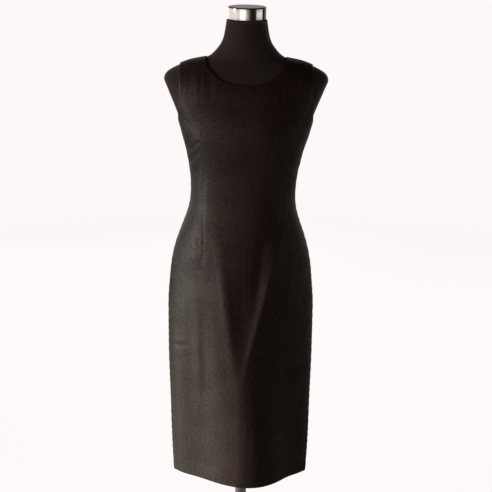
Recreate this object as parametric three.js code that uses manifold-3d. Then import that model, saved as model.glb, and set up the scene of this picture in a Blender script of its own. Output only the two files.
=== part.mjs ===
import * as THREE from 'three';
import { mergeVertices } from 'three/addons/utils/BufferGeometryUtils.js';
import ManifoldModule from 'manifold-3d';

// A sleeveless knee-length sheath dress of slubbed silk on a limbless, jersey-covered
// dress form with a chrome neck cap and a plain round stand.
// Millimetres, +Z up. The front of the dress faces -Y. The floor is at z = 0.

// Cloth and fits
const CLOTH_WALL = 2.0;
const SEAM_GAP = 0.3;

// Heights of the cut
const HEM_Z = 340;
const UNDERARM_Z = 1267;
const SLIT_TOP_Z = 560;
const SLIT_HALF_GAP_AT_HEM = 4;

// Shoulder strap
const STRAP_OUTER_X = 162;
const NECK_POINT_X = 99;

// Dress form
const FORM_FOOT_Z = 850;
const NECK_TOP_Z = 1516;
const CAP_RADIUS = 46.5;
const CAP_BAND_HEIGHT = 29;
const CAP_CROWN_HEIGHT = 31.5;

// Stand
const BASE_RADIUS = 180;
const BASE_THICKNESS = 8;
const BASE_HUB_RADIUS = 30;
const BASE_HUB_HEIGHT = 34;
const POLE_RADIUS = 14;
const SOCKET_PLATE_RADIUS = 55;
const SOCKET_PLATE_THICKNESS = 8;
const SOCKET_HUB_RADIUS = 24;
const SOCKET_HUB_HEIGHT = 46;
const POLE_FIT_GAP = 0.3;

// Zip slider at the top of the centre-back seam
const ZIP_TOP_Z = 1384;
const SLIDER_WIDTH = 6;
const SLIDER_LENGTH = 10;
const SLIDER_THICKNESS = 3;
const ARCH_WIDTH = 1.4;
const ARCH_LENGTH = 7.4;
const ARCH_WALL = 1.2;
const ARCH_WINDOW_HEIGHT = 2.6;

// Pull tab, hung through the slider's arch
const PULL_WIDTH = 5.4;
const PULL_LENGTH = 28;
const PULL_THICKNESS = 1.2;
const PULL_BAR = 1.6;
const PULL_HOLE_WIDTH = 2.6;
const PULL_HOLE_LENGTH = 5.4;
const PULL_REST_ANGLE = 5;

// The outside of the cloth at each height, carried on over the shoulder caps and the
// neck. half: half width. front, back: depth from the side seams. frontRound, backRound:
// 2 is an ellipse, less is pointed and more is squarer. shift: sideways. ease: from the
// outside of the cloth in to the form.
const SECTIONS = [
  { z: 340, half: 173.0, front: 110, back: 130, frontRound: 1.52, backRound: 1.7, shift: -3.5, ease: 32.5 },
  { z: 440, half: 177.5, front: 112, back: 131, frontRound: 1.54, backRound: 1.75, shift: -4.0, ease: 32.5 },
  { z: 550, half: 180.0, front: 117, back: 132, frontRound: 1.56, backRound: 1.8, shift: -5.0, ease: 32.5 },
  { z: 680, half: 183.5, front: 121, back: 133, frontRound: 1.6, backRound: 1.87, shift: -6.0, ease: 28.5 },
  { z: 800, half: 184.0, front: 124, back: 134, frontRound: 1.64, backRound: 1.95, shift: -6.5, ease: 22.5 },
  { z: 860, half: 180.0, front: 125, back: 134, frontRound: 1.66, backRound: 1.98, shift: -7.0, ease: 17.5 },
  { z: 900, half: 176.3, front: 125, back: 132, frontRound: 1.68, backRound: 2, shift: -7.0, ease: 13.5 },
  { z: 940, half: 169.5, front: 123, back: 126, frontRound: 1.85, backRound: 2.02, shift: -7.0, ease: 10.5 },
  { z: 980, half: 158.0, front: 119, back: 117, frontRound: 2, backRound: 2.05, shift: -6.5, ease: 8.5 },
  { z: 1020, half: 143.5, front: 112, back: 106, frontRound: 2.2, backRound: 2.08, shift: -6.0, ease: 7.5 },
  { z: 1060, half: 132.3, front: 106, back: 96, frontRound: 2.35, backRound: 2.1, shift: -5.0, ease: 7.5 },
  { z: 1090, half: 129.8, front: 104, back: 91, frontRound: 2.45, backRound: 2.12, shift: -4.0, ease: 7.5 },
  { z: 1125, half: 131.5, front: 104, back: 90, frontRound: 2.5, backRound: 2.15, shift: -3.0, ease: 7.5 },
  { z: 1165, half: 137.8, front: 108, back: 93, frontRound: 2.5, backRound: 2.2, shift: -2.0, ease: 7.5 },
  { z: 1205, half: 146.5, front: 117, back: 98, frontRound: 2.45, backRound: 2.3, shift: -1.0, ease: 7 },
  { z: 1240, half: 157.5, front: 122, back: 102, frontRound: 2.4, backRound: 2.35, shift: 0, ease: 6.5 },
  { z: 1267, half: 164.5, front: 121, back: 105, frontRound: 2.32, backRound: 2.32, shift: 0, ease: 5.1 },
  { z: 1290, half: 173.5, front: 116, back: 106, frontRound: 2.28, backRound: 2.28, shift: 0, ease: 4.7 },
  { z: 1310, half: 181.0, front: 111, back: 106, frontRound: 2.25, backRound: 2.25, shift: 0, ease: 4.4 },
  { z: 1330, half: 189.5, front: 105, back: 104, frontRound: 2.2, backRound: 2.2, shift: 0, ease: 4.2 },
  { z: 1350, half: 197.0, front: 98, back: 101, frontRound: 2.2, backRound: 2.2, shift: 0, ease: 4.1 },
  { z: 1369, half: 204.5, front: 90, back: 96, frontRound: 2.2, backRound: 2.2, shift: 0, ease: 3.4 },
  { z: 1380, half: 202.5, front: 85, back: 92, frontRound: 2.2, backRound: 2.2, shift: 0, ease: 3.4 },
  { z: 1390, half: 195.5, front: 80, back: 86, frontRound: 2.2, backRound: 2.2, shift: 0, ease: 3.4 },
  { z: 1400, half: 180.0, front: 74, back: 79, frontRound: 2.2, backRound: 2.2, shift: 0, ease: 3.4 },
  { z: 1408, half: 163.0, front: 69, back: 72, frontRound: 2.2, backRound: 2.2, shift: 0, ease: 3.4 },
  { z: 1417, half: 138.5, front: 63, back: 65, frontRound: 2.2, backRound: 2.2, shift: 0, ease: 3.4 },
  { z: 1425, half: 100.0, front: 59, back: 61, frontRound: 2.1, backRound: 2.1, shift: 0, ease: 3.4 },
  { z: 1436, half: 84.5, front: 58, back: 60, frontRound: 2.05, backRound: 2.05, shift: 0, ease: 3.4 },
  { z: 1447, half: 74.3, front: 57.5, back: 59, frontRound: 2, backRound: 2, shift: 0, ease: 3.4 },
  { z: 1466, half: 62.0, front: 57, back: 58, frontRound: 2, backRound: 2, shift: 0, ease: 3.4 },
  { z: 1485, half: 57.3, front: 56, back: 56, frontRound: 2, backRound: 2, shift: 0, ease: 3.4 },
  { z: 1518, half: 52.4, front: 52.4, back: 52.4, frontRound: 2, backRound: 2, shift: 0, ease: 3.4 },
];

// Height of the neck edge at each distance from the centre line
const FRONT_NECKLINE = [
  { x: 0, z: 1369.5 },
  { x: 24, z: 1370.5 },
  { x: 36, z: 1372.5 },
  { x: 48, z: 1375.8 },
  { x: 58, z: 1380 },
  { x: 67, z: 1385.8 },
  { x: 76, z: 1393.2 },
  { x: 84, z: 1400.8 },
  { x: 91, z: 1408.5 },
  { x: 95.5, z: 1414.5 },
  { x: 97.8, z: 1419.5 },
  { x: 98.7, z: 1423 },
];
const BACK_NECKLINE = [
  { x: 0, z: 1394 },
  { x: 36, z: 1397 },
  { x: 67, z: 1403.5 },
  { x: 84, z: 1409.5 },
  { x: 91, z: 1413.5 },
  { x: 95.5, z: 1417.5 },
  { x: 97.8, z: 1420.5 },
  { x: 98.7, z: 1423 },
];

// Distance from the centre line at which each column of the cut meets the top edge
const COLUMN_TOPS = [
  0, 12, 24, 36, 48, 58, 67, 76, 84, 91, 95.5, 97.8, 98.7, NECK_POINT_X,
  108, 118, 128, 138, 147, 155, STRAP_OUTER_X,
];

// The largest folds. Each runs from its top to its foot and fades out at both ends.
// lift: out of the cloth, or into it if negative.
const FOLDS = [
  // The flat between the two ridges that run in from the hips
  { side: 'front', topX: 12, topZ: 1050, footX: -2, footZ: 590, topWidth: 48, footWidth: 14, lift: -9 },
  // The two ridges
  { side: 'front', topX: -62, topZ: 1050, footX: -14, footZ: 540, topWidth: 17, footWidth: 12, lift: 3.5 },
  { side: 'front', topX: 113, topZ: 1050, footX: 1, footZ: 550, topWidth: 12, footWidth: 9, lift: 3.5 },
  // The hollow beside the narrower ridge
  { side: 'front', topX: 62, topZ: 1030, footX: 34, footZ: 780, topWidth: 17, footWidth: 12, lift: -5 },
  // The broad nose that they run into, down to the hem, and the flat to each side of it
  { side: 'front', topX: 12, topZ: 760, footX: 72, footZ: -80, topWidth: 34, footWidth: 74, lift: 14 },
  { side: 'front', topX: -112, topZ: 980, footX: -112, footZ: -150, topWidth: 50, footWidth: 56, lift: -15 },
  { side: 'front', topX: 128, topZ: 800, footX: 150, footZ: -120, topWidth: 30, footWidth: 40, lift: -11 },
  // The soft upright fold over the thigh
  { side: 'front', topX: -114, topZ: 900, footX: -108, footZ: 430, topWidth: 14, footWidth: 13, lift: 2 },
  // Behind, the cloth falls from the seat in two soft ridges with a hollow between
  { side: 'back', topX: -82, topZ: 1030, footX: -62, footZ: 420, topWidth: 24, footWidth: 20, lift: 5 },
  { side: 'back', topX: 70, topZ: 1010, footX: 86, footZ: 380, topWidth: 20, footWidth: 24, lift: 5 },
  { side: 'back', topX: 38, topZ: 900, footX: 30, footZ: 600, topWidth: 16, footWidth: 12, lift: -3 },
];

const COLUMNS = COLUMN_TOPS.length - 1;
const SKIRT_ROWS = 13;
const BODICE_ROWS = 11;
const YOKE_SHARES = [
  0, 0.02, 0.07, 0.16, 0.28, 0.42, 0.56, 0.69, 0.8, 0.885, 0.945, 0.982, 1,
];
const FORM_SIDES = 40;

// A smooth curve through a table's rows that never swings past them
function curveThrough(rows, positionName, valueName) {
  const at = rows.map((row) => row[positionName]);
  const value = rows.map((row) => row[valueName]);
  const gaps = at.slice(1).map((position, i) => position - at[i]);
  const slopes = gaps.map((gap, i) => (value[i + 1] - value[i]) / gap);
  const tangents = at.map((_, i) => {
    if (i === 0) return slopes[0];
    if (i === at.length - 1) return slopes[i - 1];
    if (slopes[i - 1] * slopes[i] <= 0) return 0;
    const before = 2 * gaps[i] + gaps[i - 1];
    const after = gaps[i] + 2 * gaps[i - 1];
    return (before + after) / (before / slopes[i - 1] + after / slopes[i]);
  });
  return (position) => {
    const p = Math.min(Math.max(position, at[0]), at[at.length - 1]);
    let i = 0;
    while (i < gaps.length - 1 && p > at[i + 1]) i += 1;
    const t = (p - at[i]) / gaps[i];
    const startWeight = 2 * t ** 3 - 3 * t ** 2 + 1;
    const startPull = (t ** 3 - 2 * t ** 2 + t) * gaps[i];
    const endPull = (t ** 3 - t ** 2) * gaps[i];
    return startWeight * value[i] + (1 - startWeight) * value[i + 1]
      + startPull * tangents[i] + endPull * tangents[i + 1];
  };
}

const halfWidthAt = curveThrough(SECTIONS, 'z', 'half');
const roundnessAt = {
  front: curveThrough(SECTIONS, 'z', 'frontRound'),
  back: curveThrough(SECTIONS, 'z', 'backRound'),
};
const shiftAt = curveThrough(SECTIONS, 'z', 'shift');
const easeAt = curveThrough(SECTIONS, 'z', 'ease');
const depthAt = {
  front: curveThrough(SECTIONS, 'z', 'front'),
  back: curveThrough(SECTIONS, 'z', 'back'),
};
const necklineAt = {
  front: curveThrough(FRONT_NECKLINE, 'x', 'z'),
  back: curveThrough(BACK_NECKLINE, 'x', 'z'),
};
const outwardY = { front: -1, back: 1 };

// How far from zero a section's own equation is: nothing on it, less inside it
function sectionLevel(x, y, z, side) {
  const round = roundnessAt[side](z);
  return (Math.abs(x) / halfWidthAt(z)) ** round
    + (Math.abs(y) / depthAt[side](z)) ** round - 1;
}

function depthOnSection(x, z, side) {
  const round = roundnessAt[side](z);
  const across = Math.min(Math.abs(x) / halfWidthAt(z), 1);
  return depthAt[side](z) * (1 - across ** round) ** (1 / round);
}

// The straight-out direction of the smooth outside, with x measured before the shift
function outwardDirection(x, y, z, side) {
  const step = 0.5;
  const round = roundnessAt[side](z);
  const half = halfWidthAt(z);
  const depth = depthAt[side](z);
  const steepX = Math.sign(x) * round / half * (Math.abs(x) / half) ** (round - 1);
  const steepY = outwardY[side] * round / depth * (Math.abs(y) / depth) ** (round - 1);
  const steepZ = (sectionLevel(x, y, z + step, side) - sectionLevel(x, y, z - step, side))
    / (2 * step);
  return new THREE.Vector3(steepX, steepY, steepZ).normalize();
}

function foldLift(x, z, side) {
  let lift = 0;
  for (const fold of FOLDS) {
    const along = (fold.topZ - z) / (fold.topZ - fold.footZ);
    if (fold.side !== side || along <= 0 || along >= 1) continue;
    const centre = fold.topX + (fold.footX - fold.topX) * along;
    const width = fold.topWidth + (fold.footWidth - fold.topWidth) * along;
    const across = (x - centre) / width;
    lift += fold.lift * Math.sin(Math.PI * along) ** 1.2 * Math.exp(-across * across);
  }
  return lift;
}

// A point of the cloth. depthIn is how far inside the cloth's outside it lies.
function clothPoint(x, z, side, depthIn) {
  const y = depthOnSection(x, z, side);
  const out = outwardDirection(x, y, z, side);
  const lift = foldLift(x, z, side) - depthIn;
  return [
    x + shiftAt(z) + out.x * lift,
    outwardY[side] * (SEAM_GAP / 2 + y) + out.y * lift,
    z + out.z * lift,
  ];
}

// Height of the shoulder ridge at a distance from the centre line
function ridgeHeight(x) {
  let low = 1369;
  let high = 1436;
  for (let turn = 0; turn < 40; turn += 1) {
    const middle = (low + high) / 2;
    if (halfWidthAt(middle) > x) low = middle;
    else high = middle;
  }
  return low;
}

function topEdgeHeight(distance, side) {
  return distance >= NECK_POINT_X ? ridgeHeight(distance) : necklineAt[side](distance);
}

// Where a column of the cut stands at one height, counted from the centre line
function columnX(column, z, side, topZ) {
  const share = Math.sin(column / COLUMNS * Math.PI / 2) ** (2 / roundnessAt[side](z));
  if (z <= UNDERARM_Z) return halfWidthAt(z) * share;
  const up = (z - UNDERARM_Z) / (topZ - UNDERARM_Z);
  const even = up * up * (3 - 2 * up);
  const edge = halfWidthAt(UNDERARM_Z)
    + (STRAP_OUTER_X - halfWidthAt(UNDERARM_Z)) * even;
  return edge * (share + (COLUMN_TOPS[column] / STRAP_OUTER_X - share) * even);
}

// Heights of one column's rows, from the hem to the top edge
function rowHeights(topZ) {
  const waistZ = 980;
  const heights = [];
  for (let i = 0; i < SKIRT_ROWS; i += 1) {
    heights.push(HEM_Z + (waistZ - HEM_Z) * i / SKIRT_ROWS);
  }
  for (let i = 0; i < BODICE_ROWS; i += 1) {
    heights.push(waistZ + (UNDERARM_Z - waistZ) * i / BODICE_ROWS);
  }
  const yoke = YOKE_SHARES.map((share) => UNDERARM_Z + (topZ - UNDERARM_Z) * share);
  return [...heights, ...yoke];
}

// A closed solid from a grid of outer points and the matching grid of inner points
function shellSolid(outer, inner) {
  const columns = outer.length;
  const rows = outer[0].length;
  const positions = [];
  const indices = [];
  for (const grid of [outer, inner]) {
    for (const column of grid) {
      for (const point of column) positions.push(...point);
    }
  }
  const innerStart = columns * rows;
  const outerIndex = (c, r) => c * rows + r;
  const innerIndex = (c, r) => innerStart + c * rows + r;
  const addQuad = (a, b, c, d) => indices.push(a, b, c, a, c, d);
  for (let c = 0; c < columns - 1; c += 1) {
    for (let r = 0; r < rows - 1; r += 1) {
      addQuad(outerIndex(c, r), outerIndex(c + 1, r),
        outerIndex(c + 1, r + 1), outerIndex(c, r + 1));
      addQuad(innerIndex(c, r), innerIndex(c, r + 1),
        innerIndex(c + 1, r + 1), innerIndex(c + 1, r));
    }
    addQuad(innerIndex(c, 0), innerIndex(c + 1, 0), outerIndex(c + 1, 0), outerIndex(c, 0));
    addQuad(outerIndex(c, rows - 1), outerIndex(c + 1, rows - 1),
      innerIndex(c + 1, rows - 1), innerIndex(c, rows - 1));
  }
  for (let r = 0; r < rows - 1; r += 1) {
    addQuad(outerIndex(0, r), outerIndex(0, r + 1), innerIndex(0, r + 1), innerIndex(0, r));
    addQuad(innerIndex(columns - 1, r), innerIndex(columns - 1, r + 1),
      outerIndex(columns - 1, r + 1), outerIndex(columns - 1, r));
  }
  const geometry = new THREE.BufferGeometry();
  geometry.setAttribute('position', new THREE.Float32BufferAttribute(positions, 3));
  geometry.setIndex(indices);
  return geometry;
}

// The front, cut in one piece
function frontPanelGeometry() {
  const outer = [];
  const inner = [];
  for (let i = -COLUMNS; i <= COLUMNS; i += 1) {
    const column = Math.abs(i);
    const topZ = topEdgeHeight(COLUMN_TOPS[column], 'front');
    const pointsAt = (depthIn) => rowHeights(topZ).map((z) => (
      clothPoint(Math.sign(i) * columnX(column, z, 'front', topZ), z, 'front', depthIn)
    ));
    outer.push(pointsAt(0));
    inner.push(pointsAt(CLOTH_WALL));
  }
  return shellSolid(outer, inner);
}

// Half the gap between the two backs: a seam, then a slit that opens to the hem
function centreBackGap(z) {
  const down = Math.max(SLIT_TOP_Z - z, 0) / (SLIT_TOP_Z - HEM_Z);
  return SEAM_GAP / 2 + (SLIT_HALF_GAP_AT_HEM - SEAM_GAP / 2) * down ** 1.5;
}

// One of the two backs. hand is -1 at -X and 1 at +X.
function backPanelGeometry(hand) {
  const outer = [];
  const inner = [];
  for (let column = 0; column <= COLUMNS; column += 1) {
    const topZ = topEdgeHeight(COLUMN_TOPS[column], 'back');
    const pointsAt = (depthIn) => rowHeights(topZ).map((z) => {
      const fromSeam = (1 - column / COLUMNS) * centreBackGap(z);
      const x = columnX(column, z, 'back', topZ) + fromSeam;
      return clothPoint(hand * x, z, 'back', depthIn);
    });
    outer.push(pointsAt(0));
    inner.push(pointsAt(CLOTH_WALL));
  }
  if (hand > 0) {
    outer.reverse();
    inner.reverse();
  }
  return shellSolid(outer, inner);
}

// A closed solid from stacked rings of points, flat across its foot and its top
function ringSolid(rings) {
  const sides = rings[0].length;
  const positions = rings.flat(2);
  const indices = [];
  for (let r = 0; r < rings.length - 1; r += 1) {
    for (let s = 0; s < sides; s += 1) {
      const next = (s + 1) % sides;
      const a = r * sides + s;
      const b = r * sides + next;
      const c = (r + 1) * sides + next;
      const d = (r + 1) * sides + s;
      indices.push(a, b, c, a, c, d);
    }
  }
  const topStart = (rings.length - 1) * sides;
  for (let s = 1; s < sides - 1; s += 1) {
    indices.push(0, s + 1, s);
    indices.push(topStart, topStart + s, topStart + s + 1);
  }
  const geometry = new THREE.BufferGeometry();
  geometry.setAttribute('position', new THREE.Float32BufferAttribute(positions, 3));
  geometry.setIndex(indices);
  return geometry;
}

// One ring of the form, inside the smooth outside of the cloth by the table's ease
function formRing(z, extraDepth) {
  const ring = [];
  for (let s = 0; s < FORM_SIDES; s += 1) {
    const turn = 2 * Math.PI * s / FORM_SIDES;
    const side = Math.sin(turn) <= 0 ? 'front' : 'back';
    const power = 2 / roundnessAt[side](z);
    const x = halfWidthAt(z) * Math.sign(Math.cos(turn)) * Math.abs(Math.cos(turn)) ** power;
    const y = depthAt[side](z) * Math.abs(Math.sin(turn)) ** power;
    const out = outwardDirection(x, y, z, side);
    const depthIn = easeAt(z) + extraDepth;
    ring.push([
      x + shiftAt(z) - out.x * depthIn,
      outwardY[side] * y - out.y * depthIn,
      z - out.z * depthIn,
    ]);
  }
  return ring;
}

function flattenRing(ring, z) {
  return ring.map((point) => [point[0], point[1], z]);
}

function formGeometry() {
  const heights = [
    880, 920, 960, 1000, 1040, 1080, 1120, 1160, 1200, 1235, 1267, 1290, 1310, 1330,
    1350, 1362, 1370, 1377, 1384, 1391, 1397, 1403, 1408, 1413, 1417, 1421, 1425, 1430,
    1436, 1447, 1466, 1485,
  ];
  const foot = flattenRing(formRing(FORM_FOOT_Z, 8), FORM_FOOT_Z);
  const footRound = flattenRing(formRing(FORM_FOOT_Z, 2), FORM_FOOT_Z + 8);
  const top = flattenRing(formRing(NECK_TOP_Z, 0), NECK_TOP_Z);
  return ringSolid([foot, footRound, ...heights.map((z) => formRing(z, 0)), top]);
}

// A body turned about the vertical line from [radius, height] points on the axis to
// the axis again
function turned(profile, sides) {
  const points = profile.map(([radius, height]) => new THREE.Vector2(radius, height));
  const geometry = new THREE.LatheGeometry(points, sides);
  geometry.rotateX(Math.PI / 2);
  geometry.deleteAttribute('normal');
  geometry.deleteAttribute('uv');
  return mergeVertices(geometry, 1e-4);
}

function neckCapGeometry() {
  const foot = NECK_TOP_Z + SEAM_GAP;
  return turned([
    [0, foot],
    [CAP_RADIUS - 1, foot],
    [CAP_RADIUS, foot + 1],
    [CAP_RADIUS, foot + CAP_BAND_HEIGHT - 0.8],
    [CAP_RADIUS - 0.7, foot + CAP_BAND_HEIGHT + 0.8],
    [CAP_RADIUS - 2.2, foot + CAP_BAND_HEIGHT + 1.6],
    [CAP_RADIUS * 0.65, foot + CAP_CROWN_HEIGHT - 0.4],
    [0, foot + CAP_CROWN_HEIGHT],
  ], 40);
}

// A plate screwed under the form with a hub that takes the top of the pole
function formSocketGeometry() {
  const top = FORM_FOOT_Z - SEAM_GAP;
  const plateFoot = top - SOCKET_PLATE_THICKNESS;
  const hubFoot = plateFoot - SOCKET_HUB_HEIGHT;
  const bore = POLE_RADIUS + POLE_FIT_GAP;
  return turned([
    [0, plateFoot],
    [bore, plateFoot],
    [bore, hubFoot],
    [SOCKET_HUB_RADIUS - 2, hubFoot],
    [SOCKET_HUB_RADIUS, hubFoot + 2],
    [SOCKET_HUB_RADIUS, plateFoot],
    [SOCKET_PLATE_RADIUS - 1, plateFoot],
    [SOCKET_PLATE_RADIUS, plateFoot + 1],
    [SOCKET_PLATE_RADIUS, top],
    [0, top],
  ], 28);
}

function poleGeometry() {
  const foot = BASE_THICKNESS + SEAM_GAP;
  const top = FORM_FOOT_Z - SEAM_GAP - SOCKET_PLATE_THICKNESS - SEAM_GAP;
  return turned([[0, foot], [POLE_RADIUS, foot], [POLE_RADIUS, top], [0, top]], 32);
}

// A heavy round plate with a raised hub around the foot of the pole
function baseGeometry() {
  const bore = POLE_RADIUS + POLE_FIT_GAP;
  return turned([
    [0, 0],
    [BASE_RADIUS - 1, 0],
    [BASE_RADIUS, 1],
    [BASE_RADIUS, BASE_THICKNESS - 3],
    [BASE_RADIUS - 3, BASE_THICKNESS],
    [BASE_HUB_RADIUS + 4, BASE_THICKNESS],
    [BASE_HUB_RADIUS, BASE_THICKNESS + 4],
    [BASE_HUB_RADIUS - 4, BASE_THICKNESS + BASE_HUB_HEIGHT],
    [bore, BASE_THICKNESS + BASE_HUB_HEIGHT],
    [bore, BASE_THICKNESS],
    [0, BASE_THICKNESS],
  ], 56);
}

const manifoldKit = await ManifoldModule();
manifoldKit.setup();

function solidFrom(geometry) {
  const bare = geometry.clone();
  bare.deleteAttribute('normal');
  bare.deleteAttribute('uv');
  const merged = mergeVertices(bare, 1e-4);
  return new manifoldKit.Manifold(new manifoldKit.Mesh({
    numProp: 3,
    vertProperties: new Float32Array(merged.attributes.position.array),
    triVerts: new Uint32Array(merged.index.array),
  }));
}

function geometryFrom(solid) {
  const mesh = solid.getMesh();
  const geometry = new THREE.BufferGeometry();
  geometry.setAttribute('position', new THREE.BufferAttribute(mesh.vertProperties, 3));
  geometry.setIndex(new THREE.BufferAttribute(mesh.triVerts, 1));
  return geometry;
}

// Turns zip pieces, drawn flat with +Y up the seam and +Z away from the cloth, into
// their place on the centre back
function zipPlacement() {
  const y = depthOnSection(0, ZIP_TOP_Z, 'back');
  const out = outwardDirection(0, y, ZIP_TOP_Z, 'back');
  const upSeam = new THREE.Vector3(0, -out.z, out.y);
  const across = new THREE.Vector3().crossVectors(upSeam, out);
  const place = new THREE.Matrix4().makeBasis(across, upSeam, out);
  return place.setPosition(
    out.x * SEAM_GAP,
    SEAM_GAP / 2 + y + out.y * SEAM_GAP,
    ZIP_TOP_Z + out.z * SEAM_GAP,
  );
}

function roundedBar(width, length, radius) {
  const shape = new THREE.Shape();
  shape.moveTo(-width / 2 + radius, -length / 2);
  shape.lineTo(width / 2 - radius, -length / 2);
  shape.quadraticCurveTo(width / 2, -length / 2, width / 2, -length / 2 + radius);
  shape.lineTo(width / 2, length / 2 - radius);
  shape.quadraticCurveTo(width / 2, length / 2, width / 2 - radius, length / 2);
  shape.lineTo(-width / 2 + radius, length / 2);
  shape.quadraticCurveTo(-width / 2, length / 2, -width / 2, length / 2 - radius);
  shape.lineTo(-width / 2, -length / 2 + radius);
  shape.quadraticCurveTo(-width / 2, -length / 2, -width / 2 + radius, -length / 2);
  return shape;
}

function boxHole(width, length, centreY) {
  const hole = new THREE.Path();
  hole.moveTo(-width / 2, centreY - length / 2);
  hole.lineTo(-width / 2, centreY + length / 2);
  hole.lineTo(width / 2, centreY + length / 2);
  hole.lineTo(width / 2, centreY - length / 2);
  hole.closePath();
  return hole;
}

// The slider's body with the arch that the pull hangs from
function zipSliderGeometry() {
  const body = new THREE.ExtrudeGeometry(roundedBar(SLIDER_WIDTH, SLIDER_LENGTH, 1.6), {
    depth: SLIDER_THICKNESS,
    bevelEnabled: false,
    curveSegments: 4,
  });
  const archHeight = ARCH_WINDOW_HEIGHT + ARCH_WALL;
  const archFoot = -1;
  const outline = new THREE.Shape();
  outline.moveTo(-ARCH_LENGTH / 2, archFoot);
  outline.lineTo(ARCH_LENGTH / 2, archFoot);
  outline.lineTo(ARCH_LENGTH / 2, archHeight - ARCH_WALL);
  outline.lineTo(ARCH_LENGTH / 2 - ARCH_WALL, archHeight);
  outline.lineTo(-ARCH_LENGTH / 2 + ARCH_WALL, archHeight);
  outline.lineTo(-ARCH_LENGTH / 2, archHeight - ARCH_WALL);
  outline.closePath();
  outline.holes.push(
    boxHole(ARCH_LENGTH - 2 * ARCH_WALL, ARCH_WINDOW_HEIGHT, ARCH_WINDOW_HEIGHT / 2));
  const arch = new THREE.ExtrudeGeometry(outline, { depth: ARCH_WIDTH, bevelEnabled: false });
  arch.translate(0, 0, -ARCH_WIDTH / 2);
  arch.applyMatrix4(new THREE.Matrix4().makeBasis(
    new THREE.Vector3(0, 1, 0),
    new THREE.Vector3(0, 0, 1),
    new THREE.Vector3(1, 0, 0),
  ));
  arch.translate(0, 0, SLIDER_THICKNESS);
  const slider = geometryFrom(solidFrom(body).add(solidFrom(arch)));
  slider.applyMatrix4(zipPlacement());
  return slider;
}

// The pull tab at rest, leaning from the arch on the foot of the slider
function zipPullGeometry() {
  const outline = roundedBar(PULL_WIDTH, PULL_LENGTH, 2.2);
  const holeCentre = PULL_LENGTH / 2 - PULL_BAR - PULL_HOLE_LENGTH / 2;
  outline.holes.push(boxHole(PULL_HOLE_WIDTH, PULL_HOLE_LENGTH, holeCentre));
  const pull = new THREE.ExtrudeGeometry(outline, {
    depth: PULL_THICKNESS,
    bevelEnabled: false,
    curveSegments: 5,
  });
  pull.translate(0, -PULL_LENGTH / 2 + PULL_BAR / 2, -PULL_THICKNESS / 2);
  pull.rotateX(THREE.MathUtils.degToRad(PULL_REST_ANGLE));
  pull.translate(0, 0, SLIDER_THICKNESS + ARCH_WINDOW_HEIGHT / 2);
  pull.applyMatrix4(zipPlacement());
  return geometryFrom(solidFrom(pull));
}

const partGroup = new THREE.Group();

function addSolid(name, geometry, color, roughness, metalness) {
  const material = new THREE.MeshStandardMaterial({ color, roughness, metalness });
  material.name = `${name}_finish`;
  const mesh = new THREE.Mesh(geometry, material);
  mesh.name = name;
  partGroup.add(mesh);
}

addSolid('front_panel', frontPanelGeometry(), 0x3a2f2a, 0.55, 0);
addSolid('back_left_panel', backPanelGeometry(-1), 0x3a2f2a, 0.55, 0);
addSolid('back_right_panel', backPanelGeometry(1), 0x3a2f2a, 0.55, 0);
addSolid('zip_slider', zipSliderGeometry(), 0x2a2622, 0.35, 1);
addSolid('zip_pull', zipPullGeometry(), 0x2a2622, 0.35, 1);
addSolid('form_body', formGeometry(), 0x1c1715, 0.9, 0);
addSolid('neck_cap', neckCapGeometry(), 0xc8c4bc, 0.12, 1);
addSolid('form_socket', formSocketGeometry(), 0x202020, 0.5, 1);
addSolid('stand_pole', poleGeometry(), 0xb8b8b8, 0.2, 1);
addSolid('stand_base', baseGeometry(), 0x202020, 0.5, 1);

export default partGroup;
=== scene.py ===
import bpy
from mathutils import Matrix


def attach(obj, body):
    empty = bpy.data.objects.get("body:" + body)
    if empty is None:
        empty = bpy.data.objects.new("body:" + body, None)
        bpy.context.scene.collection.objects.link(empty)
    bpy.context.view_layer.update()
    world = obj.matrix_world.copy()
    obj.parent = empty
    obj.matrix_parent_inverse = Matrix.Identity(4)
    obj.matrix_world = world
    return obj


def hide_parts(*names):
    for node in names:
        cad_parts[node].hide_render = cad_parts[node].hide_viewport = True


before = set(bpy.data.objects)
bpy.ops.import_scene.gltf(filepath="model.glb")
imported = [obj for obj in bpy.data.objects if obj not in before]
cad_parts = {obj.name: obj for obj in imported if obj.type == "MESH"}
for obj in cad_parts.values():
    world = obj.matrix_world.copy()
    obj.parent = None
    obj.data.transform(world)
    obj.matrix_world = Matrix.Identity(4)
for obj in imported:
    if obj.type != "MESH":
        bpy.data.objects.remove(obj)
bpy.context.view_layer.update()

import math

import bmesh
import bpy
import numpy as np
from mathutils import Matrix, Vector

# ---------------------------------------------------------------------------
# Dress front and backs. Three pieces of slubbed silk, sewn at the shoulders, the
# sides and the centre back, and shaped by bust darts and long waist darts. The
# neck, armholes and hem turn under, and the back seam opens as a slit at the hem.

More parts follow.
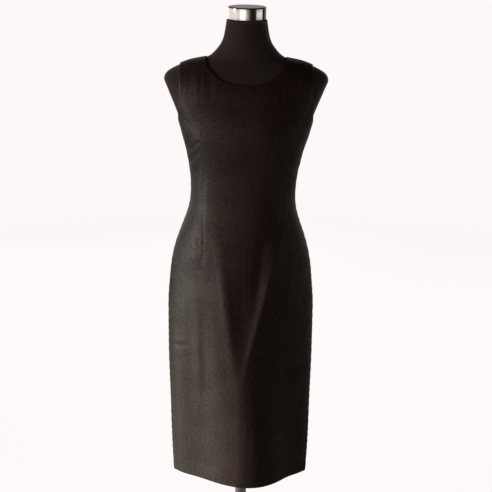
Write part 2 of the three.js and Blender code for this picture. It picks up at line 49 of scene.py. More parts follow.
# The cut, in level sections. Millimetres: height, half width, depth of the front and
# the back from the side seams, how square each is (2 is an ellipse), sideways shift,
# and the ease from the cloth in to the form.
SECTION_NAMES = (
    "z", "half", "front", "back", "front_round", "back_round", "shift", "ease",
)
SECTIONS = np.array((
    (340, 173.0, 110, 130, 1.52, 1.7, -3.5, 32.5),
    (440, 177.5, 112, 131, 1.54, 1.75, -4.0, 32.5),
    (550, 180.0, 117, 132, 1.56, 1.8, -5.0, 32.5),
    (680, 183.5, 121, 133, 1.6, 1.87, -6.0, 28.5),
    (800, 184.0, 124, 134, 1.64, 1.95, -6.5, 22.5),
    (860, 180.0, 125, 134, 1.66, 1.98, -7.0, 17.5),
    (900, 176.3, 125, 132, 1.68, 2, -7.0, 13.5),
    (940, 169.5, 123, 126, 1.85, 2.02, -7.0, 10.5),
    (980, 158.0, 119, 117, 2, 2.05, -6.5, 8.5),
    (1020, 143.5, 112, 106, 2.2, 2.08, -6.0, 7.5),
    (1060, 132.3, 106, 96, 2.35, 2.1, -5.0, 7.5),
    (1090, 129.8, 104, 91, 2.45, 2.12, -4.0, 7.5),
    (1125, 131.5, 104, 90, 2.5, 2.15, -3.0, 7.5),
    (1165, 137.8, 108, 93, 2.5, 2.2, -2.0, 7.5),
    (1205, 146.5, 117, 98, 2.45, 2.3, -1.0, 7),
    (1240, 157.5, 122, 102, 2.4, 2.35, 0, 6.5),
    (1267, 164.5, 121, 105, 2.32, 2.32, 0, 5.1),
    (1290, 173.5, 116, 106, 2.28, 2.28, 0, 4.7),
    (1310, 181.0, 111, 106, 2.25, 2.25, 0, 4.4),
    (1330, 189.5, 105, 104, 2.2, 2.2, 0, 4.2),
    (1350, 197.0, 98, 101, 2.2, 2.2, 0, 4.1),
    (1369, 204.5, 90, 96, 2.2, 2.2, 0, 3.4),
    (1380, 202.5, 85, 92, 2.2, 2.2, 0, 3.4),
    (1390, 195.5, 80, 86, 2.2, 2.2, 0, 3.4),
    (1400, 180.0, 74, 79, 2.2, 2.2, 0, 3.4),
    (1408, 163.0, 69, 72, 2.2, 2.2, 0, 3.4),
    (1417, 138.5, 63, 65, 2.2, 2.2, 0, 3.4),
    (1425, 100.0, 59, 61, 2.1, 2.1, 0, 3.4),
    (1436, 84.5, 58, 60, 2.05, 2.05, 0, 3.4),
    (1447, 74.3, 57.5, 59, 2, 2, 0, 3.4),
    (1466, 62.0, 57, 58, 2, 2, 0, 3.4),
    (1485, 57.3, 56, 56, 2, 2, 0, 3.4),
    (1518, 52.4, 52.4, 52.4, 2, 2, 0, 3.4),
))
HEM_Z = 340.0
WAIST_Z = 980.0
UNDERARM_Z = 1267.0
STRAP_OUTER_X = 162.0
NECK_POINT_X = 99.0
SLIT_TOP_Z = 560.0
SLIT_HALF_GAP = 3.9
SEAM_HALF_GAP = 0.1
MM = 0.001


def smooth_curve(at, value):
    """A curve through the points that never swings past them."""
    at = np.asarray(at, float)
    value = np.asarray(value, float)
    gap = np.diff(at)
    slope = np.diff(value) / gap
    tangent = np.zeros(len(at))
    tangent[0] = slope[0]
    tangent[-1] = slope[-1]
    for i in range(1, len(at) - 1):
        if slope[i - 1] * slope[i] > 0:
            before = 2 * gap[i] + gap[i - 1]
            after = gap[i] + 2 * gap[i - 1]
            tangent[i] = (before + after) / (before / slope[i - 1] + after / slope[i])

    def curve(x):
        x = np.clip(np.asarray(x, float), at[0], at[-1])
        i = np.clip(np.searchsorted(at, x) - 1, 0, len(gap) - 1)
        t = (x - at[i]) / gap[i]
        return (
            (2 * t**3 - 3 * t**2 + 1) * value[i]
            + (t**3 - 2 * t**2 + t) * gap[i] * tangent[i]
            + (3 * t**2 - 2 * t**3) * value[i + 1]
            + (t**3 - t**2) * gap[i] * tangent[i + 1]
        )

    return curve


# Below the shoulders the turns of the outline are rounded off over this reach.
EASE_REACH = 14.0
EASE_TOP_Z, EASE_FADE = 1345.0, 60.0


def eased(curve):
    """The same curve with its turns rounded off, as hanging cloth rounds them."""

    def value(z):
        below_top = (EASE_TOP_Z - np.asarray(z, float)) / EASE_FADE
        reach = EASE_REACH * np.clip(below_top, 0.0, 1.0)
        return (curve(z - reach) + 2 * curve(z) + curve(z + reach)) / 4

    return value


section = {
    name: eased(smooth_curve(SECTIONS[:, 0], SECTIONS[:, k]))
    for k, name in enumerate(SECTION_NAMES)
    if name != "z"
}
FACING = {"front": -1.0, "back": 1.0}


def depth_at(x, z, side):
    """How far the outside of the cloth stands in front of or behind the side seams."""
    power = section[side + "_round"](z)
    across = np.minimum(np.abs(x) / section["half"](z), 1.0)
    return section[side](z) * (1 - across**power) ** (1 / power)


def on_cloth(x, z, side):
    """Points on the smooth outside of the cloth."""
    return np.stack((x, FACING[side] * depth_at(x, z, side), z), axis=-1)


def outward_at(x, y, z, side):
    """The straight-out direction of the smooth outside, in rows of x, y, z."""

    def level(height):
        power = section[side + "_round"](height)
        return (np.abs(x) / section["half"](height)) ** power + (
            np.abs(y) / section[side](height)
        ) ** power

    power = section[side + "_round"](z)
    half = section["half"](z)
    depth = section[side](z)
    out = np.stack(
        (
            np.sign(x) * power / half * (np.abs(x) / half) ** (power - 1),
            FACING[side] * power / depth * (np.abs(y) / depth) ** (power - 1),
            (level(z + 0.5) - level(z - 0.5)),
        ),
        axis=-1,
    )
    return out / np.linalg.norm(out, axis=-1, keepdims=True)


def near(distance, reach):
    """1 on a line, fading to nothing at about twice the reach from it."""
    return np.exp(-((distance / reach) ** 2))


# The largest folds, within a few millimetres of the solids' own: side, x and height
# at the top, x and height at the foot, width at the top and at the foot, and lift.
LARGE_FOLDS = (
    ("front", 19, 1050, 3, 640, 58, 13, -8.5),
    ("front", -62, 1050, -8, 590, 17, 12, 3.5),
    ("front", 112, 1050, 0, 605, 12, 7, 3.2),
    ("front", 62, 1030, 34, 780, 17, 12, -5),
    ("front", 12, 760, 72, -80, 34, 74, 14),
    ("front", -112, 980, -112, -150, 50, 56, -15),
    ("front", 128, 800, 150, -120, 30, 40, -11),
    ("front", -114, 900, -108, 430, 14, 13, 2),
    ("back", -82, 1030, -62, 420, 24, 20, 5),
    ("back", 70, 1010, 86, 380, 20, 24, 5),
    ("back", 38, 900, 30, 600, 16, 12, -3),
)


def large_fold_lift(x, z, side):
    """The lift of every large fold of a side, strongest at the middle of its length."""
    lift = np.zeros_like(x)
    for fold_side, top_x, top_z, foot_x, foot_z, top_w, foot_w, height in LARGE_FOLDS:
        if fold_side != side:
            continue
        along = np.clip((top_z - z) / (top_z - foot_z), 0.0, 1.0)
        middle = top_x + (foot_x - top_x) * along
        width = top_w + (foot_w - top_w) * along
        lift += height * np.sin(np.pi * along) ** 1.2 * near(x - middle, width)
    return lift


# Creases: side, then three points of its line as x and height, then width and lift.
# A line is laid on the cloth through its three points and fades at both ends.
CREASES = (
    # strap and upper chest, wearer's right
    ("front", -158, 1398, -158, 1370, -156, 1335, 5, 1.0),
    ("front", -118, 1408, -117, 1365, -121, 1318, 7, 1.1),
    ("front", -134, 1400, -137, 1366, -141, 1328, 6, -0.8),
    ("front", -104, 1404, -101, 1370, -104, 1335, 5, 0.8),
    ("front", -86, 1392, -84, 1356, -92, 1312, 7, -0.9),
    # strap and upper chest, wearer's left
    ("front", 114, 1406, 112, 1362, 118, 1316, 7, 1.0),
    ("front", 130, 1402, 134, 1370, 139, 1334, 5, 1.2),
    ("front", 122, 1400, 124, 1368, 127, 1330, 4, -0.9),
    ("front", 150, 1392, 151, 1362, 149, 1325, 6, 0.9),
    ("front", 88, 1388, 86, 1352, 92, 1310, 7, -0.8),
    # across the upper chest, slack of the neck edge
    ("front", -44, 1362, -20, 1352, 6, 1360, 6, 0.7),
    ("front", 10, 1358, 40, 1347, 68, 1362, 7, 0.8),
    ("front", -70, 1330, -20, 1318, 36, 1326, 12, -0.8),
    # armhole to bust
    ("front", -158, 1322, -132, 1296, -104, 1268, 8, 1.3),
    ("front", -161, 1296, -138, 1274, -112, 1250, 6, -1.1),
    ("front", 158, 1318, 134, 1292, 104, 1262, 8, 1.2),
    ("front", 160, 1290, 140, 1268, 116, 1240, 6, -1.2),
    # bust darts and the drags under them, wearer's right
    ("front", -146, 1196, -126, 1216, -104, 1240, 3.5, -1.3),
    ("front", -142, 1186, -124, 1204, -106, 1226, 5, 1.0),
    ("front", -139, 1168, -124, 1188, -110, 1212, 5, -1.6),
    ("front", -136, 1150, -120, 1172, -108, 1200, 6, 0.9),
    ("front", -133, 1132, -118, 1150, -104, 1174, 7, -1.1),
    # bust darts and the drags under them, wearer's left
    ("front", 146, 1196, 126, 1216, 104, 1240, 3.5, -1.3),
    ("front", 143, 1184, 126, 1203, 108, 1226, 5, 1.6),
    ("front", 140, 1164, 126, 1182, 112, 1204, 6, 1.9),
    ("front", 137, 1148, 122, 1160, 106, 1180, 5, -1.6),
    ("front", 134, 1134, 118, 1150, 100, 1160, 7, 1.0),
    # waist, short slack folds
    ("front", -128, 1108, -112, 1102, -92, 1106, 6, -1.0),
    ("front", -124, 1080, -104, 1086, -84, 1080, 7, 1.0),
    ("front", 128, 1104, 108, 1098, 88, 1104, 6, -1.2),
    ("front", 124, 1076, 106, 1083, 84, 1078, 7, 1.0),
    ("front", -60, 1096, -20, 1088, 24, 1094, 9, -0.8),
    ("front", 20, 1064, 50, 1070, 78, 1062, 8, 0.8),
    # waist darts: the sewn line, the fold that lies beside it, and the dimple
    ("front", -94, 1176, -96, 1120, -95, 1050, 3.0, -0.5),
    ("front", -95, 1072, -94, 1015, -91, 956, 2.6, -1.1),
    ("front", -86, 1150, -87, 1075, -85, 966, 6.0, 0.25),
    ("front", -90, 960, -95, 942, -101, 924, 6, -1.0),
    ("front", -118, 985, -113, 962, -116, 930, 9, 0.6),
    ("front", -80, 960, -84, 938, -90, 908, 7, 0.4),
    ("front", -118, 912, -106, 909, -92, 912, 3.5, -0.8),
    ("front", 96, 1176, 96, 1075, 94, 962, 2.6, -1.1),
    ("front", 89, 1168, 89, 1075, 87, 966, 5.0, 0.45),
    ("front", 118, 1000, 126, 930, 122, 830, 8, 1.3),
    ("front", 134, 975, 140, 930, 138, 872, 8, -1.2),
    # skirt front
    ("front", 12, 985, 12, 900, 14, 770, 4, 0.6),
    ("front", 18, 640, 20, 520, 22, 372, 5, -0.5),
    ("front", -178, 702, -160, 698, -134, 704, 3.4, -1.7),
    ("front", -178, 712, -160, 708, -138, 713, 5, 0.8),
    ("front", -66, 634, -28, 629, 8, 633, 3.6, -1.5),
    ("front", -110, 800, -110, 690, -106, 540, 14, 0.6),
    ("front", -142, 640, -140, 540, -144, 430, 14, -0.7),
    ("front", -86, 590, -88, 500, -86, 392, 16, 0.6),
    ("front", -52, 560, -54, 470, -50, 372, 14, -0.6),
    ("front", 66, 560, 72, 470, 70, 370, 16, 0.9),
    ("front", 110, 700, 116, 580, 112, 420, 14, -1.1),
    ("front", 136, 820, 142, 700, 140, 560, 11, 1.1),
    ("front", 40, 700, 66, 690, 96, 700, 6, -1.0),
    ("front", 60, 500, 100, 492, 138, 502, 7, -1.0),
    ("front", 174, 650, 154, 642, 130, 650, 6, -1.6),
    # back bodice, from the shoulder blades to the waist
    ("back", -120, 1396, -112, 1350, -96, 1296, 9, 1.2),
    ("back", 122, 1398, 112, 1348, 100, 1290, 9, 1.2),
    ("back", -148, 1380, -146, 1345, -136, 1306, 7, -1.0),
    ("back", 146, 1384, 146, 1342, 138, 1300, 7, -1.0),
    ("back", -152, 1300, -118, 1280, -84, 1276, 9, -1.2),
    ("back", 154, 1296, 120, 1276, 90, 1270, 9, -1.1),
    ("back", -140, 1200, -100, 1186, -60, 1196, 9, 1.4),
    ("back", 142, 1192, 104, 1182, 64, 1190, 8, 1.3),
    ("back", -134, 1150, -96, 1142, -56, 1150, 7, -1.7),
    ("back", 134, 1142, 98, 1134, 60, 1144, 7, -1.5),
    ("back", -130, 1112, -90, 1104, -40, 1110, 8, 1.7),
    ("back", 128, 1106, 90, 1100, 44, 1106, 8, 1.5),
    ("back", -124, 1078, -86, 1074, -48, 1080, 6, -1.5),
    ("back", 126, 1072, 88, 1070, 50, 1076, 6, -1.4),
    # back waist darts
    ("back", -74, 1200, -72, 1080, -76, 940, 3.2, -1.7),
    ("back", -66, 1190, -64, 1080, -68, 950, 5.0, 0.9),
    ("back", 74, 1200, 72, 1080, 76, 940, 3.2, -1.7),
    ("back", 66, 1190, 64, 1080, 68, 950, 5.0, 0.9),
    # back skirt
    ("back", -150, 980, -120, 968, -84, 972, 8, -1.4),
    ("back", 152, 976, 122, 962, 88, 968, 8, -1.3),
    ("back", -112, 800, -116, 690, -110, 560, 12, 1.5),
    ("back", 120, 820, 124, 700, 118, 560, 12, 1.4),
    ("back", -30, 860, -28, 760, -32, 640, 10, -1.3),
    ("back", -140, 640, -104, 632, -70, 640, 6, -1.7),
    ("back", 146, 660, 110, 652, 72, 660, 6, -1.5),
    ("back", -40, 700, -20, 694, -4, 698, 5, -1.2),
    ("back", 130, 480, 96, 474, 60, 482, 7, 1.0),
    ("back", -120, 470, -90, 462, -60, 470, 7, -1.0),
)
CREASE_STEPS = np.linspace(0.0, 1.0, 13)


def crease_line(x0, z0, x1, z1, x2, z2, side):
    """Points on the cloth along the curve through a crease's three points."""
    before, after = (1 - CREASE_STEPS) ** 2, CREASE_STEPS**2
    between = 2 * CREASE_STEPS * (1 - CREASE_STEPS)
    line_x = before * x0 + between * (2 * x1 - (x0 + x2) / 2) + after * x2
    line_z = before * z0 + between * (2 * z1 - (z0 + z2) / 2) + after * z2
    return on_cloth(line_x, line_z, side)


def crease_lift(points):
    """The lift of every crease at each point, by its distance from the crease's line."""
    lift = np.zeros(points.shape[:-1])
    for side, x0, z0, x1, z1, x2, z2, width, height in CREASES:
        line = crease_line(x0, z0, x1, z1, x2, z2, side)
        margin = 3 * width
        close = np.all(
            (points > line.min(axis=0) - margin) & (points < line.max(axis=0) + margin),
            axis=-1,
        )
        if not close.any():
            continue
        here = points[close]
        best = np.full(len(here), np.inf)
        along = np.zeros(len(here))
        for start, end, step, next_step in zip(line, line[1:], CREASE_STEPS, CREASE_STEPS[1:]):
            run = end - start
            share = np.clip(((here - start) @ run) / (run @ run), 0.0, 1.0)
            away = np.linalg.norm(here - start - share[:, None] * run, axis=1)
            closer = away < best
            best = np.where(closer, away, best)
            along = np.where(closer, step + share * (next_step - step), along)
        fade = np.sin(np.pi * np.clip(along, 0.0, 1.0)) ** 0.8
        lift[close] += height * fade * near(best, width)
    return lift


# The slow unevenness of crisp silk, larger on the skirt, which hangs free.
UNEVEN_FROM_Z, UNEVEN_TO_Z = 900.0, 1040.0
SKIRT_UNEVEN, BODICE_UNEVEN = 0.55, 0.3


def uneven_lift(x, z, side):
    """Two crossing swells, a long one and a short one, set differently on each side."""
    turn = 0.0 if side == "front" else 1.7
    long_swell = np.sin(x / 31.0 + z / 83.0 + turn) * np.sin(z / 57.0 - x / 120.0 + 2 * turn)
    short_swell = np.sin(x / 17.0 - z / 41.0 + 3 * turn) * np.sin(z / 26.0 + x / 60.0)
    height = np.interp(z, (UNEVEN_FROM_Z, UNEVEN_TO_Z), (SKIRT_UNEVEN, BODICE_UNEVEN))
    return (long_swell + 0.6 * short_swell) * height


# Height of the neck edge at a distance from the centre.
NECKLINES = {
    "front": smooth_curve(
        (0, 24, 36, 48, 58, 67, 76, 84, 91, 95.5, 97.8, 98.7),
        (1369.5, 1370.5, 1372.5, 1375.8, 1380, 1385.8, 1393.2, 1400.8, 1408.5, 1414.5,
         1419.5, 1423),
    ),
    "back": smooth_curve(
        (0, 36, 67, 84, 91, 95.5, 97.8, 98.7),
        (1394, 1397, 1403.5, 1409.5, 1413.5, 1417.5, 1420.5, 1423),
    ),
}
# Distances from the centre of the panel's lines of cloth at its top edge.
COLUMN_TOPS = np.array((
    0, 12, 24, 36, 48, 58, 67, 76, 84, 91, 95.5, 97.8, 98.7, NECK_POINT_X,
    108, 118, 128, 138, 147, 155, STRAP_OUTER_X,
))
SHOULDER_SEAM_Z = np.linspace(1436.0, 1369.0, 400)
SHOULDER_SEAM_X = section["half"](SHOULDER_SEAM_Z)


def top_edge(x, side):
    """Height of the neck edge or the shoulder seam at a distance from the centre."""
    seam = np.interp(x, SHOULDER_SEAM_X, SHOULDER_SEAM_Z)
    return np.where(x >= NECK_POINT_X, seam, NECKLINES[side](x))


def back_half_gap(z):
    """Half the gap at the centre back: a closed seam, then a slit down to the hem."""
    down = np.clip((SLIT_TOP_Z - z) / (SLIT_TOP_Z - HEM_Z), 0.0, 1.0)
    return SEAM_HALF_GAP + SLIT_HALF_GAP * down**1.5


# Width of a panel from the centre line, in grid columns, and its rows: skirt, bodice
# and yoke. The rows lie closer at the hem and at the top edge, where the cloth turns.
HALF_COLUMNS = 100
SKIRT_ROWS, BODICE_ROWS, YOKE_ROWS = 128, 62, 46


def panel_grid(column, side, hand):
    """The x and z of a panel's grid, column by column, before it is laid on the dress."""
    reach = np.abs(column) / HALF_COLUMNS
    sign = np.where(column < 0, -1.0, 1.0) * hand
    top_x = np.interp(reach * (len(COLUMN_TOPS) - 1), np.arange(len(COLUMN_TOPS)), COLUMN_TOPS)
    top_z = top_edge(top_x, side)[:, None]
    row = np.arange(SKIRT_ROWS + BODICE_ROWS + YOKE_ROWS + 1, dtype=float)[None, :]
    skirt = np.clip(row / SKIRT_ROWS, 0, 1)
    bodice = np.clip((row - SKIRT_ROWS) / BODICE_ROWS, 0, 1)
    yoke = np.clip((row - SKIRT_ROWS - BODICE_ROWS) / YOKE_ROWS, 0, 1)
    yoke = 1 - (1 - yoke**1.5) ** 2.2
    z = (
        HEM_Z
        + (WAIST_Z - HEM_Z) * skirt**1.15
        + (UNDERARM_Z - WAIST_Z) * bodice
        + (top_z - UNDERARM_Z) * yoke
    )
    # the side seam up to the underarm, then the armhole in to the strap
    share = np.sin(reach * np.pi / 2)[:, None] ** (2 / section[side + "_round"](z))
    even = np.where(z > UNDERARM_Z, yoke**2 * (3 - 2 * yoke), 0.0)
    underarm_half = section["half"](UNDERARM_Z)
    armhole = underarm_half + (STRAP_OUTER_X - underarm_half) * even
    edge = np.where(z > UNDERARM_Z, armhole, section["half"](z))
    x = edge * (share + (top_x[:, None] / STRAP_OUTER_X - share) * even)
    if side == "back":
        x = x + (1 - reach[:, None]) * back_half_gap(z)
    return x * sign[:, None], z


# How the cloth lies at its edges, in millimetres: how far from the edge each of these
# reaches, and how deep or high it is. Calm cloth has little of the folds' lift.
TOP_CALM_REACH = 16.0
TOP_TURN_REACH, TOP_TURN_DEPTH = 1.7, 0.55
SIDE_CALM_REACH, SIDE_CALM_SHARE = 9.0, 0.8
SIDE_FLAT_REACH = 4.0
SIDE_PUCKER_REACH, SIDE_PUCKER_HEIGHT = 11.0, 0.35
SIDE_TURN_REACH, SIDE_TURN_DEPTH = 1.6, 0.6
HEM_TURN_REACH, HEM_TURN_DEPTH = 2.4, 0.7
HEM_STITCH_UP, HEM_STITCH_REACH, HEM_STITCH_DEPTH = 42.0, 4.0, 0.3
BACK_PUCKER_REACH, BACK_PUCKER_HEIGHT = 9.0, 0.3
BACK_TURN_REACH, BACK_TURN_DEPTH = 1.7, 0.8


def edge_lift(lift, z, side, to_top, to_side, to_hem, to_centre):
    """The folds' lift, calmed where the cloth is sewn, with its puckers and turned edges."""
    lift = lift * (1 - near(to_top, TOP_CALM_REACH)) - TOP_TURN_DEPTH * near(to_top, TOP_TURN_REACH)
    sewn_side = z <= UNDERARM_Z
    calm = 1 - SIDE_CALM_SHARE * near(to_side, SIDE_CALM_REACH)
    lift = lift * np.where(sewn_side, calm * (1 - near(to_side, SIDE_FLAT_REACH)), 1.0)
    pucker = SIDE_PUCKER_HEIGHT * np.sin(z / 3.3 + 1.6 * np.sin(z / 23.0))
    lift = lift + np.where(sewn_side, pucker * near(to_side, SIDE_PUCKER_REACH), 0.0)
    lift = lift - SIDE_TURN_DEPTH * near(to_side, SIDE_TURN_REACH)
    lift = lift - HEM_TURN_DEPTH * near(to_hem, HEM_TURN_REACH)
    lift = lift - HEM_STITCH_DEPTH * near(to_hem - HEM_STITCH_UP, HEM_STITCH_REACH)
    if side == "back":
        pucker = BACK_PUCKER_HEIGHT * np.sin(z / 3.6 + 1.3 * np.sin(z / 31.0))
        lift = lift + pucker * near(to_centre, BACK_PUCKER_REACH)
        lift = lift - BACK_TURN_DEPTH * near(to_centre, BACK_TURN_REACH)
    return lift


# Where each panel is cut from the bolt, in millimetres along it.
BOLT_PLACES = {("front", 1): 0.0, ("back", -1): 1700.0, ("back", 1): 3100.0}
SIDE_SEAM_HALF_GAP = 0.02


def run_along(points, axis):
    """Distance along the lines of a grid of points, from the start of each line."""
    steps = np.linalg.norm(np.diff(points, axis=axis), axis=-1)
    start = np.zeros_like(np.take(steps, [0], axis=axis))
    return np.concatenate((start, np.cumsum(steps, axis=axis)), axis=axis)


def cut_points(side, hand, first_column):
    """Points and flat-cut coordinates of a panel's grid, in metres, column by column."""
    column = np.arange(first_column, HALF_COLUMNS + 1, dtype=float)
    x, z = panel_grid(column, side, hand)
    flat = on_cloth(x, z, side)
    out = outward_at(x, flat[..., 1], z, side)
    cut_u = run_along(flat, 0)
    cut_u = cut_u - cut_u[np.argmin(np.abs(column))]
    cut_v = run_along(flat, 1)
    lift = edge_lift(
        large_fold_lift(x, z, side) + crease_lift(flat) + uneven_lift(x, z, side),
        z, side,
        to_top=cut_v[:, -1:] - cut_v,
        to_side=np.abs(cut_u - np.where(column[:, None] < 0, cut_u[:1], cut_u[-1:])),
        to_hem=cut_v,
        to_centre=np.abs(cut_u),
    )
    points = flat + out * lift[..., None]
    points[..., 0] += section["shift"](z)
    points[..., 1] += FACING[side] * SIDE_SEAM_HALF_GAP
    bolt = BOLT_PLACES[side, hand]
    cut = np.stack((cut_u * hand + bolt, cut_v + bolt / 5), axis=-1)
    return points * MM, cut * MM


def set_inputs(node, values):
    """Fixed values for a node's named inputs."""
    for name, value in values.items():
        node.inputs[name].default_value = value


def add_node(nodes, kind, inputs=None, **settings):
    """A new shader node with its settings and the fixed values of its named inputs."""
    node = nodes.new(kind)
    for name, value in settings.items():
        setattr(node, name, value)
    set_inputs(node, inputs or {})
    return node


def new_material(name):
    """A material, with its nodes, its links and its main shader."""
    material = bpy.data.materials.new(name)
    material.use_nodes = True
    tree = material.node_tree
    return material, tree.nodes, tree.links, tree.nodes["Principled BSDF"]


def feed(links, socket, value):
    """Give an input a plain value, or link it to another node's output."""
    if isinstance(value, (int, float, tuple)):
        socket.default_value = value
    else:
        links.new(value, socket)


def math_node(nodes, links, operation, first, second):
    """The result of a math operation on two outputs or numbers."""
    node = add_node(nodes, "ShaderNodeMath", operation=operation)
    feed(links, node.inputs[0], first)
    feed(links, node.inputs[1], second)
    return node.outputs[0]


def sums(nodes, links):
    """Functions that add and multiply two outputs or numbers in one node tree."""

    def plus(first, second):
        return math_node(nodes, links, "ADD", first, second)

    def times(first, second):
        return math_node(nodes, links, "MULTIPLY", first, second)

    return plus, times


def ramp(nodes, links, value, low, high, start=0.0, end=1.0, kind="SMOOTHSTEP"):
    """A rise or fall from start to end while a value goes from low to high."""
    node = add_node(
        nodes, "ShaderNodeMapRange",
        {"From Min": low, "From Max": high, "To Min": start, "To Max": end},
        interpolation_type=kind,
    )
    links.new(value, node.inputs["Value"])
    return node.outputs["Result"]


def mix_colors(nodes, links, factor, first, second, blend_type="MIX"):
    """A colour between two, each a plain colour or an output."""
    node = add_node(nodes, "ShaderNodeMix", data_type="RGBA", blend_type=blend_type)
    feed(links, node.inputs["Factor"], factor)
    feed(links, node.inputs["A"], first)
    feed(links, node.inputs["B"], second)
    return node.outputs["Result"]


def grain(nodes, links, place, scale, detail, roughness=0.5, distortion=0.0):
    """Noise with a scale of its own along each axis, in grains a metre."""
    stretch = add_node(nodes, "ShaderNodeMapping", {"Scale": scale})
    links.new(place, stretch.inputs["Vector"])
    noise = add_node(nodes, "ShaderNodeTexNoise", {
        "Scale": 1.0, "Detail": detail, "Roughness": roughness, "Distortion": distortion,
    })
    links.new(stretch.outputs["Vector"], noise.inputs["Vector"])
    return noise.outputs["Fac"]


def add_relief(nodes, links, surface, height, strength, depth):
    """Give a surface's normal the bumps of a height."""
    bump = add_node(nodes, "ShaderNodeBump", {"Strength": strength, "Distance": depth})
    links.new(height, bump.inputs["Height"])
    links.new(bump.outputs["Normal"], surface.inputs["Normal"])


def slub_weave_group():
    """Cloth coordinates in metres to a slub mask, a yarn tone and a height."""
    group = bpy.data.node_groups.new("slub weave", "ShaderNodeTree")
    group.interface.new_socket("Cloth", in_out="INPUT", socket_type="NodeSocketVector")
    for name in ("Slub", "Tone", "Height"):
        group.interface.new_socket(name, in_out="OUTPUT", socket_type="NodeSocketFloat")
    nodes, links = group.nodes, group.links
    cloth = nodes.new("NodeGroupInput").outputs["Cloth"]
    out = nodes.new("NodeGroupOutput")

    def streaks(across, along, detail, distortion=0.0):
        return grain(nodes, links, cloth, (across, along, 1.0), detail, 0.6, distortion)

    plus, times = sums(nodes, links)
    long_slub = ramp(nodes, links, streaks(20.0, 420.0, 3.0), 0.58, 0.72)
    short_slub = ramp(nodes, links, streaks(52.0, 760.0, 3.0), 0.58, 0.76)
    slub = math_node(nodes, links, "MAXIMUM", long_slub, short_slub)
    weft = streaks(7.0, 1500.0, 3.0)
    warp = streaks(1700.0, 12.0, 3.0)
    bands = streaks(115.0, 400.0, 3.5, 0.12)
    drift = streaks(11.0, 26.0, 4.0, 0.6)
    yarns = plus(weft, times(warp, 0.6))
    tone = plus(times(drift, 0.12), plus(times(bands, 0.60), times(yarns, 0.18)))
    links.new(slub, out.inputs["Slub"])
    links.new(tone, out.inputs["Tone"])
    links.new(plus(times(slub, 0.9), times(yarns, 0.7)), out.inputs["Height"])
    return group


# Fine even warp, and thick-and-thin weft of two near tones with short level slubs. The
# silk is plum brown face on, and paler and greyer where its face turns from the eye. That
# shift is shot silk, and also painted sheen standing in for the gloss on the lit flank.
SILK_FACE_ON = (0.0465, 0.0240, 0.0192, 1.0)
SILK_EDGE_SHEEN = (0.039, 0.0335, 0.0275, 1.0)
SLUB_COLOR = (0.062, 0.045, 0.036, 1.0)
SLUB_STRENGTH = 0.55
DARK_YARN, PALE_YARN = 0.34, 0.66


def silk_material():
    """The woven silk, read from the panels' flat-cut coordinates."""
    material, nodes, links, cloth = new_material("slubbed_silk")
    set_inputs(cloth, {
        "Specular IOR Level": 0.27, "Specular Tint": (1.0, 0.92, 0.80, 1.0),
        "Coat Roughness": 0.5, "Coat IOR": 1.45, "Coat Tint": (1.0, 0.95, 0.90, 1.0),
        "Sheen Weight": 0.12, "Sheen Roughness": 0.45, "Sheen Tint": (0.95, 0.85, 0.74, 1.0),
    })
    place = add_node(nodes, "ShaderNodeUVMap", uv_map="cut")
    weave = add_node(nodes, "ShaderNodeGroup", node_tree=slub_weave_group())
    links.new(place.outputs["UV"], weave.inputs["Cloth"])
    # painted sheen: the colour goes paler and greyer as the surface turns from the eye
    eye_angle = add_node(nodes, "ShaderNodeLayerWeight", {"Blend": 0.5})
    turned = ramp(nodes, links, eye_angle.outputs["Facing"], 0.03, 0.42)
    shot_and_sheen = mix_colors(nodes, links, turned, SILK_FACE_ON, SILK_EDGE_SHEEN)

    def by_tone(dark, pale):
        tone = weave.outputs["Tone"]
        return ramp(nodes, links, tone, DARK_YARN, PALE_YARN, dark, pale, "LINEAR")

    toned = mix_colors(nodes, links, 1.0, shot_and_sheen, by_tone(0.12, 1.92), "MULTIPLY")
    slub_share = math_node(nodes, links, "MULTIPLY", weave.outputs["Slub"], SLUB_STRENGTH)
    slubbed = mix_colors(nodes, links, slub_share, toned, SLUB_COLOR)
    links.new(slubbed, cloth.inputs["Base Color"])
    links.new(by_tone(0.70, 0.42), cloth.inputs["Roughness"])
    links.new(by_tone(0.0, 1.0), cloth.inputs["Coat Weight"])
    add_relief(nodes, links, cloth, weave.outputs["Height"], 0.55, 0.00022)
    return material


silk = silk_material()
CLOTH_THICKNESS = 1.3


def mesh_object(name, bm, material):
    """An object at the origin with a finished mesh and its material."""
    mesh = bpy.data.meshes.new(name)
    bm.to_mesh(mesh)
    bm.free()
    mesh.materials.append(material)
    piece = bpy.data.objects.new(name, mesh)
    bpy.context.scene.collection.objects.link(piece)
    return piece


def cloth_panel(name, side, hand, first_column):
    """One cut panel: a flat grid laid on the dress, with its wall turned inwards."""
    points, cut = cut_points(side, hand, first_column)
    columns, rows = points.shape[0] - 1, points.shape[1] - 1
    bm = bmesh.new()
    bmesh.ops.create_grid(bm, x_segments=columns, y_segments=rows, size=1.0)
    cut_layer = bm.loops.layers.uv.new("cut")
    places = {}
    for vert in bm.verts:
        i = round((vert.co.x + 1) / 2 * columns)
        j = round((vert.co.y + 1) / 2 * rows)
        vert.co = points[i, j]
        places[vert] = cut[i, j]
    for face in bm.faces:
        face.smooth = True
        for loop in face.loops:
            loop[cut_layer].uv = places[loop.vert]
    middle = max(bm.faces, key=lambda face: abs(face.calc_center_median().y))
    middle.normal_update()
    if middle.normal.y * FACING[side] < 0:
        bmesh.ops.reverse_faces(bm, faces=bm.faces)
    panel = mesh_object(name, bm, silk)
    wall = panel.modifiers.new("wall", "SOLIDIFY")
    wall.thickness = CLOTH_THICKNESS * MM
    wall.offset = -1.0
    wall.use_even_offset = True
    return panel


front = cloth_panel("dress_front", "front", 1, -HALF_COLUMNS)
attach(front, "dressed_form")
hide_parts("front_panel")

for back_name, hand, node_name in (
    ("dress_back_left", -1, "back_left_panel"),
    ("dress_back_right", 1, "back_right_panel"),
):
    back = cloth_panel(back_name, "back", hand, 0)
    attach(back, "dressed_form")
    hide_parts(node_name)

